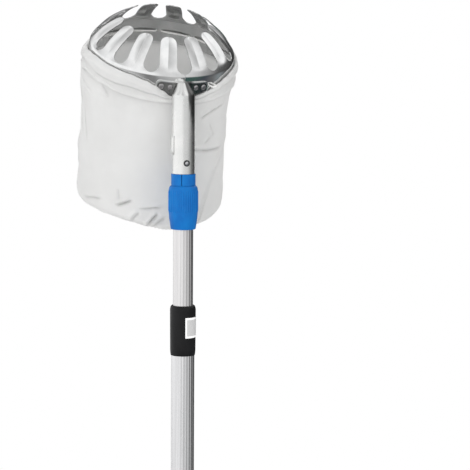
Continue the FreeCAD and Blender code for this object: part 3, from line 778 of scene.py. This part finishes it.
def build_socket():
    """The socket with its plate, the rivets' heads outside and inside the band, and the screw."""
    shell = piece("socket_shell", *joined([socket_tube(), socket_plate()]), "head", "handle_socket",
                  socket_steel)
    # Painted shade on the plate's panel and the nose's right side
    tone_each(shell, [plate_painted_shade(vertex.co) for vertex in shell.data.vertices])
    head = [(2.9, 0), (3.0, 0.25), (2.85, 0.8), (2.4, 1.25), (1.7, 1.5), (1.15, 1.5), (0.95, 1.2), (0.9, 0.7),
            (0.3, 0.65)]
    tail = [(2.4, 0), (2.5, 0.3), (2.2, 1.0), (1.4, 1.5), (0.4, 1.6)]
    heads = []
    for degrees in (-17, -10.3, 10.3, 17):
        angle = radians(degrees) + PLATE_TURN
        height = RIVET_HEIGHT + PLATE_SLOPE * radians(degrees) * RING
        out = outward_at(angle)
        heads.append(stud(head, on_ring(angle, PLATE_OUT - 0.1 * MM, height), out))
        heads.append(stud(tail, on_ring(angle, RING - SHEET, height), -out))
    piece("rivet_heads", *joined(heads), "head", "socket_rivets", rivet_steel)

    screw_low, screw_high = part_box("socket_screw")
    where = Vector((0, -SOCKET_RADIUS + 0.2 * MM, (screw_low.z + screw_high.z) / 2))
    pan = [(1.5, -3), (1.5, 0), (3.5, 0), (3.5, 0.35), (3.2, 0.7), (2.75, 0.6), (2.3, 0.45), (2.0, 0.6),
           (1.85, 1.0), (1.5, 1.3), (0.9, 1.45), (0.3, 1.5)]
    screw = piece("socket_screw_head", *stud(pan, where, Vector((0, -1, 0))), "head", "socket_screw",
                  screw_steel)
    dome = where.y - SCREW_DOME
    # Painted shade: the sunk ring round the dome is painted dark
    tone_each(screw, [1.0 if vertex.co.y < dome else SCREW_RING_PAINTED_SHADE for vertex in screw.data.vertices])


# ---- Pole and clamp

COLLAR_LOW, COLLAR_TOP = (corner.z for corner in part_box("guide_collar"))
COLLAR_FOOT_RADIUS, COLLAR_TOP_RADIUS = 13.6 * MM, 13.9 * MM
LABEL_START, LABEL_END, LABEL_OUT = radians(-6), radians(86), 0.18 * MM
# The white margin round the label's grey field, in steps of the label's mesh, and the field's tone
LABEL_MARGIN, FIELD_TONE = 4, 0.58
FLUTE_DEPTH = 0.3 * MM
RIBS, RIB_DEPTH = 40, 0.55 * MM


def build_tube(node, body, material, bore, radius, flutes):
    """A thin tube with shallow rounded flutes on its outside; bore and radius in millimetres."""
    low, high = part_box(node)
    bottom, top = low.z / MM, high.z / MM

    def fluted(r, z, angle):
        if r < (radius - 0.6) * MM:
            return r
        return r - FLUTE_DEPTH * (0.5 - 0.5 * cos(flutes * angle)) ** 2

    outline = rounded([(bore, bottom), (radius, bottom), (radius, top), (bore, top)], 0.25)
    piece(node + "_fluted", *lathe(outline, 12 * flutes, fluted), body, node, material)


def build_grip():
    """The rubber grip, a little thicker at both ends."""
    low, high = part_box("end_grip")
    bottom, top = low.z / MM, high.z / MM
    outline = rounded([(12.5, bottom), (13.8, bottom), (14, bottom + 4), (13.7, bottom + 30),
                       (13.7, top - 30), (14, top - 6), (13.6, top), (12.5, top)], 1.5, 5)
    piece("rubber_grip", *lathe(outline, 128), "outer_pole", "end_grip", grip_rubber)


def collar_radius(height):
    """The sleeve's radius, which grows a little toward its top."""
    return mix(COLLAR_FOOT_RADIUS, COLLAR_TOP_RADIUS, (height - COLLAR_LOW) / (COLLAR_TOP - COLLAR_LOW))


def build_collar():
    """The guide collar's sleeve with a rounded top edge, and its blank label: white with a grey field."""
    bottom, top = COLLAR_LOW / MM, COLLAR_TOP / MM
    foot, shoulder = collar_radius(COLLAR_LOW + 5 * MM) / MM, collar_radius(COLLAR_TOP - 4.5 * MM) / MM
    outline = rounded([(12.5, bottom), (foot - 0.5, bottom), (foot, bottom + 5), (shoulder, top - 4.5),
                       (shoulder - 0.7, top - 1.2), (11.9, top), (11.15, top), (11.15, top - 2),
                       (12.5, top - 2)], 1.2, 4)
    piece("guide_collar_sleeve", *lathe(outline, 128), "outer_pole", "guide_collar", black_plastic)

    low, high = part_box("collar_label")
    columns, rows = 48, 36
    verts, tones = [], []
    for j in range(rows + 1):
        z = mix(low.z, high.z, j / rows)
        for i in range(columns + 1):
            angle = mix(LABEL_START, LABEL_END, i / columns)
            r = collar_radius(z) + LABEL_OUT
            verts.append((r * sin(angle), -r * cos(angle), z))
            inset = min(i, columns - i, j, rows - j)
            tones.append(FIELD_TONE if inset >= LABEL_MARGIN else 1.0)
    label = piece("label_sheet", verts, grid_faces(rows + 1, columns + 1), "outer_pole", "collar_label",
                  label_film)
    thicken(label, 0.14 * MM, 0)
    tone_each(label, tones * 2)


def build_nut():
    """The ribbed nut: a smooth taper below, a ribbed barrel, a shoulder; inside, a seat and a plain bore."""
    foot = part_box("clamp_nut")[0].z
    rib_low, rib_top = foot + 17 * MM, foot + 42.5 * MM
    taper = [(11.15, 0), (13.3, 0), (14.2, 6), (15.1, 12)]
    barrel = [(15.5 if k in (0, 12) else 16.0, 18 + 2 * k) for k in range(13)]
    shoulder = [(15.3, 43.8), (14.7, 45.4), (13.4, 46.6)]
    bore = [(12.7, 46.6), (12.7, 16.5), (11.8, 4.5), (11.15, 4.5)]
    outline = rounded([(r, foot / MM + up) for r, up in taper + barrel + shoulder + bore], 0.9)

    def ribbed(r, height, angle):
        if r < 15.2 * MM:
            return r
        fade = smooth_step(rib_low, rib_low + 2.5 * MM, height)
        fade *= smooth_step(rib_top, rib_top - 2 * MM, height)
        return r - RIB_DEPTH * fade * (0.5 - 0.5 * cos(RIBS * angle)) ** 0.8

    piece("nut_ribbed", *lathe(outline, 320, ribbed), "nut", "clamp_nut", blue_plastic)


# ---- Bag

FLOOR = -176 * MM
# How far behind the crown's axis the floor hangs: it is negative, as the bag's weight swings it forward.
# Down to HEM_LOW the bag stays on the axis.
DRIFT, HEM_LOW = -20.4 * MM, -33.5 * MM
BAG_CORNER = 9 * MM
FLOOR_RADIUS = 73 * MM
# The wall's radius, and its length for each degree round it, in millimetres
BAG_RADIUS, ARC = 82, 1.43
WALL_WIDTH, HEM_WIDTH = 0.515, 0.525
# Radii of the hem's outer and inner leg, in millimetres, and the rise of its fold
HEM_OUT, HEM_IN, HEM_FOLD = 83.6, 81.1, 1.4 * MM
HEM_OVERLAP = 2.6 * MM
# Heights of the hem's top fold, foot and turned-in edge, in degrees round the crown and millimetres
HEM_TOP = [(-180, -4), (-150, -6), (-128, -10), (-112, -10.5), (-98, -7), (-85, -3), (-75, -1.8), (-60, -2.9),
           (-40, -4), (-27, -7), (-20, -10.8), (-14, -15.5), (-8, -20.8), (0, -24), (9, -23.2), (16, -20.4),
           (22, -18.4), (29, -15.4), (35, -12), (43, -8.7), (53, -6.5), (90, -4.5), (180, -4)]
HEM_FOOT = [(-180, -27), (-145, -29), (-118, -31.5), (-98, -27), (-82, -22.8), (-60, -24.4), (-42, -26.4),
            (-10, -27.6), (12, -29), (38, -28), (90, -27.5), (180, -27)]
HEM_EDGE = [(-180, -16), (-150, -18), (-126, -21), (-112, -20), (-98, -16), (-88, -12.5), (-80, -13),
            (-68, -16), (-50, -16.6), (-37, -15.8), (-22, -18.6), (-8, -23), (0, -25), (14, -24), (28, -19.5),
            (40, -15), (60, -13), (180, -16)]
# How far the bag's foot is drawn up, in degrees and millimetres
FOOT_LIFT = [(-180, 0), (-90, 0), (-60, 4.5), (-45, 6), (-30, 5.5), (-15, 3), (0, 0), (180, 0)]
# Creases in the side wall: from (angle, height) to (angle, height), width, depth; degrees and
# millimetres. The cloth stands up on the left of a crease that runs down.
CREASES = [(-101, -50, -92, -96, 1.5, 1.0), (-92, -64, -80, -98, 1.6, 0.9), (-101, -38, -78, -42, 1.4, 0.5),
           (-64, -28, -57, -36, 2.0, 0.8), (49, -42, 29, -46, 1.3, 1.1), (31, -45, 23, -50, 1.3, 1.0),
           (33, -60, 39, -74, 1.6, 0.6), (39, -73, 29, -82, 1.6, 0.6), (50, -94, 30, -89, 1.8, 1.1),
           (30, -89, 14, -84, 1.7, 0.9), (60, -100, 43, -118, 1.2, 1.2), (44, -117, 35, -142, 1.2, 1.5),
           (35, -141, 26, -170, 1.3, 1.6), (-31, -147, -41, -157, 1.5, 1.6), (-41, -137, -40, -152, 1.6, 0.6),
           (-7, -148, -22, -153, 1.5, 1.0), (-10, -158, -17, -172, 1.7, 1.8), (-4, -160, -12, -171, 1.5, 1.0),
           (-58, -157, -75, -165, 1.4, 0.8), (-24, -160, -30, -172, 1.6, 0.9),
           (100, -60, 84, -140, 2.2, 1.3), (130, -50, 140, -120, 2.4, 1.4), (165, -150, 190, -110, 2.2, 1.6),
           (-140, -60, -150, -130, 2.2, 1.4), (-120, -150, -108, -110, 2.0, 1.4),
           (-178, -60, -165, -100, 2.0, 1.0), (62, -60, 74, -96, 1.8, 0.9)]
CREASE_GAIN = 1.8
# The swell below the hem at the left: how far out, and its middle and half-width in degrees
PUFF, PUFF_ANGLE, PUFF_WIDTH = 3.6 * MM, -106, 34
# Painted shade: how much darker the cloth is in a crease, under the hem's foot and at its turned-in edge
TROUGH_SHADE, FOOT_SHADE, EDGE_SHADE = 0.24, 0.22, 0.16


def drift_at(height):
    """How far behind the crown's axis the bag hangs at a height: at its hem it doesn't."""
    return DRIFT * min(max((HEM_LOW - height) / (HEM_LOW - FLOOR), 0.0), 1.0)


def wall_radius(height):
    """The empty bag is a little slimmer at half its height."""
    return eased([(-177, 82.0), (-160, 81.8), (-130, 80.6), (-95, 79.9), (-60, 79.9), (-44, 80.4),
                  (-34, 81.4), (-20, 82.2)], height / MM) * MM


def aside(height):
    """How far the loose bag hangs to its left."""
    return eased([(-176, 0.6), (-120, 1.8), (-50, 2.0), (-26, 0)], height / MM) * -MM


def on_bag(angle, radius, height, level):
    """A point of the hanging bag, moved off the crown's axis as the bag is at a level."""
    return on_ring(angle, radius, height, drift_at(level)) + ACROSS * aside(level)


def round_hem(stops, angle):
    """A height at an angle round the crown, from stops in degrees and millimetres."""
    return eased(stops, (math.degrees(angle) + 180) % 360 - 180) * MM


def lifted(angle, height):
    """How far the empty bag's foot is drawn up, mostly at its front left."""
    return round_hem(FOOT_LIFT, angle) * smooth_step(-120, -176, height / MM)


def relief(angle, height):
    """How far the creases alone push a point of the wall out, in millimetres."""
    degrees = math.degrees(angle)
    y = height / MM
    out = 0.0
    for a0, h0, a1, h1, width, depth in CREASES:
        if not min(h0, h1) - 16 < y < max(h0, h1) + 16:
            continue
        x = ((degrees - a0 + 180) % 360 - 180) * ARC
        run, fall = (a1 - a0) * ARC, h1 - h0
        long = math.hypot(run, fall)
        t = (x * run + (y - h0) * fall) / long ** 2
        if not -0.25 < t < 1.25:
            continue
        d = (x * fall - (y - h0) * run) / long / width
        if abs(d) > 5:
            continue
        fade = smooth_step(-0.25, 0.2, t) * smooth_step(1.25, 0.8, t)
        out += fade * CREASE_GAIN * depth * (0.8 * math.exp(-(((d - 2.0) / 1.3) ** 2)) - math.exp(-d * d))
    return out


def creased(angle, height):
    """How far the cloth stands out at a point of the wall."""
    degrees = math.degrees(angle)
    y = height / MM
    out = relief(angle, height)
    place = Vector((cos(angle) * BAG_RADIUS, sin(angle) * BAG_RADIUS, y))
    out += 1.5 * noise.noise(place * 0.022) + 0.5 * noise.noise(place * 0.07 + Vector((5, 1, 2)))
    pucker = smooth_step(-62, -36, y) * 0.35 + smooth_step(-158, -172, y) * 0.55
    out += pucker * sin(degrees * 0.62 + 3 * noise.noise(place * 0.03)) * noise.noise(place * 0.05)
    return out * MM


def puffed(angle, height):
    """How far the wall stands out below the hem, round the left."""
    off = ((math.degrees(angle) - PUFF_ANGLE + 180) % 360 - 180) / PUFF_WIDTH
    y = height / MM
    return PUFF * math.exp(-off * off) * smooth_step(-23, -30, y) * smooth_step(-70, -38, y)


def shaded(above, depth, width):
    """Painted shade on cloth a way above or below a fold's dark line, whose width is in millimetres."""
    return 1 - depth * math.exp(-(above / MM / width) ** 2)


def cloth_rows(rows, width, way):
    """Points, faces and cloth coordinates of rings of points, the rows running up or down the cloth."""
    steps = len(rows[0])
    walked = [0.0]
    for a, b in zip(rows, rows[1:]):
        walked.append(walked[-1] + (b[0] - a[0]).length)
    uvs = [(i / steps * width, way * down) for down in walked for i in range(steps)]
    return [v for row in rows for v in row], grid_faces(len(rows), steps, wrap=True), uvs


def bag_point(angle, height):
    """A point of the side wall, whose creases start below the hem."""
    free = smooth_step(-29, -37, height / MM)
    r = wall_radius(height) + creased(angle, height) * free + puffed(angle, height)
    return on_bag(angle, r, height + lifted(angle, height), height)


def build_bag_side():
    """The side wall, from behind the hem down to the rounded corner over the floor."""
    steps, levels, corner_steps = 400, 110, 8
    edge = FLOOR + BAG_CORNER
    turns = [tau * i / steps for i in range(steps)]
    starts = [round_hem(HEM_FOOT, angle) + HEM_OVERLAP for angle in turns]
    rows, tones = [], []
    for k in range(levels + corner_steps + 1):
        heights = [mix(start, edge, k / levels) for start in starts]
        if k <= levels:
            rows.append([bag_point(angle, height) for angle, height in zip(turns, heights)])
        for angle, height, start in zip(turns, heights, starts):
            # Painted shade in the creases' troughs and a painted shadow under the hem's foot
            trough = smooth_step(-0.2, -1.6, relief(angle, height))
            tones.append((1 - TROUGH_SHADE * trough) * shaded(height - start + 4.2 * MM, FOOT_SHADE, 1.5))
    for k in range(1, corner_steps + 1):
        turn = radians(90) * k / corner_steps
        height = edge - BAG_CORNER * sin(turn)
        ring = []
        for angle in turns:
            sag = creased(angle, edge - 4 * k * MM / corner_steps) * (1 - k / (corner_steps + 1))
            r = wall_radius(edge) + sag - BAG_CORNER * (1 - cos(turn))
            ring.append(on_bag(angle, r, height + lifted(angle, height), edge))
        rows.append(ring)
    verts, faces, uvs = cloth_rows(rows, WALL_WIDTH, -1)
    side = piece("bag_wall", verts, faces, "head", "bag_side", bag_cloth, sharp=60, uvs=uvs)
    thicken(side, 0.7 * MM, 0, 60)
    tone_each(side, tones * 2)


def build_bag_floor():
    """The round floor, which sags a little, and its seam with the side wall."""
    steps, rings = 144, 16
    verts, uvs = [], []
    for ring in range(rings + 1):
        share = max(ring / rings, 0.01)
        for i in range(steps):
            angle = tau * i / steps
            r = FLOOR_RADIUS * share
            place = Vector((sin(angle) * r, cos(angle) * r, 0)) * 60
            sag = -3.5 * MM * (1 - share * share) + 0.8 * MM * noise.noise(place) * (1 - share ** 4)
            sag += lifted(angle, FLOOR) * share * share
            verts.append(on_bag(angle, r, FLOOR + sag, FLOOR))
            uvs.append((sin(angle) * r, cos(angle) * r))
    faces = grid_faces(rings + 1, steps, wrap=True) + [tuple(range(steps))]
    floor = piece("bag_floor", verts, faces, "head", "bag_bottom", floor_cloth, sharp=60, uvs=uvs)
    thicken(floor, 0.8 * MM, 0, 60)
    path = []
    for i in range(200):
        angle = tau * i / 200
        height = FLOOR + 0.15 * MM + lifted(angle, FLOOR)
        path.append((on_bag(angle, FLOOR_RADIUS + 1.8 * MM, height, FLOOR), -UP))
    piece("floor_stitching", *stitches(path, 4.2 * MM, 3.1 * MM, 0.6 * MM), "head", "bag_bottom",
          sewing_thread, replaces=False)


def build_hem():
    """One strip folded over the crown's band, its fold up, dipped round the socket and sewn below."""
    steps = 360
    outer, fold, inner = 26, 5, 8
    rows, tones = [], []
    for k in range(outer + fold + inner):
        ring = []
        for i in range(steps):
            angle = tau * i / steps
            top, foot, edge = (round_hem(stops, angle) for stops in (HEM_TOP, HEM_FOOT, HEM_EDGE))
            foot += 0.5 * MM * noise.noise(Vector((cos(angle), sin(angle), 0)) * 4)
            ripple = noise.noise(Vector((cos(angle) * 9, sin(angle) * 9, k * 0.12)))
            loose = 1.1 - 1.3 * sin(angle)
            tone = 1.0
            if k < outer:
                height = mix(foot, top - HEM_FOLD, k / (outer - 1))
                step = smooth_step(-0.6, 0.6, (height - edge) / MM)
                near_foot = smooth_step(6, 0, (height - foot) / MM)
                near_top = smooth_step(0, -6, (height - top) / MM)
                r = HEM_OUT + loose * near_top + 1.6 * step * near_top + 0.7 * near_foot + 0.6 * ripple
                # Painted shadow along the line of the hem's turned-in edge
                tone = shaded(height - edge + 0.4 * MM, EDGE_SHADE, 0.9)
            elif k < outer + fold:
                turn = radians(180) * (k - outer + 1) / (fold + 1)
                height = top - HEM_FOLD + HEM_FOLD * sin(turn)
                r = mix(HEM_OUT, HEM_IN, (1 - cos(turn)) / 2) + 0.3 * ripple
            else:
                height = mix(top - HEM_FOLD, foot + 2 * MM, (k - outer - fold) / (inner - 1))
                r = HEM_IN
            ring.append(on_ring(angle, r * MM, height))
            tones.append(tone)
        rows.append(ring)
    verts, faces, uvs = cloth_rows(rows, HEM_WIDTH, 1)
    hem = piece("bag_hem_band", verts, faces, "head", "bag_hem", bag_cloth, sharp=70, uvs=uvs)
    thicken(hem, 0.6 * MM, 0, 70)
    tone_each(hem, tones * 2)
    path = []
    for i in range(240):
        angle = tau * i / 240
        height = round_hem(HEM_FOOT, angle) + HEM_OVERLAP
        path.append((on_ring(angle, (85.5 - 1.3 * sin(angle)) * MM, height), outward_at(angle)))
    thread = piece("hem_stitching", *stitches(path, 4.0 * MM, 3.0 * MM, 0.55 * MM), "head", "bag_hem",
                   sewing_thread, replaces=False)


# ---- Materials of the CAD nodes that keep their shape

KEPT = {
    "bag_cord": lacing_cord, "clamp_body": blue_plastic,
    "expander_cone": natural_plastic, "expander_sleeve": black_plastic, "guide_bush": black_plastic,
    "hanging_plug": black_plastic, "lock_plug": grey_plastic, "lock_plug_pin": plain_steel,
    "lock_spindle": plain_steel, "spindle_nut": plain_steel, "split_collet": natural_plastic,
}

scene.view_settings.view_transform = "Standard"
add_camera()
studio_light()
left_panel()
pale_floor()
build_crown()
build_socket()
build_tube("inner_tube", "inner_pole", inner_aluminium, 9.75, 10.75, 20)
build_tube("outer_tube", "outer_pole", outer_aluminium, 11.3, 12.5, 24)
build_grip()
build_collar()
build_nut()
build_hem()
build_bag_side()
build_bag_floor()
for name, material in KEPT.items():
    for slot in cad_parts[name].material_slots:
        slot.material = material
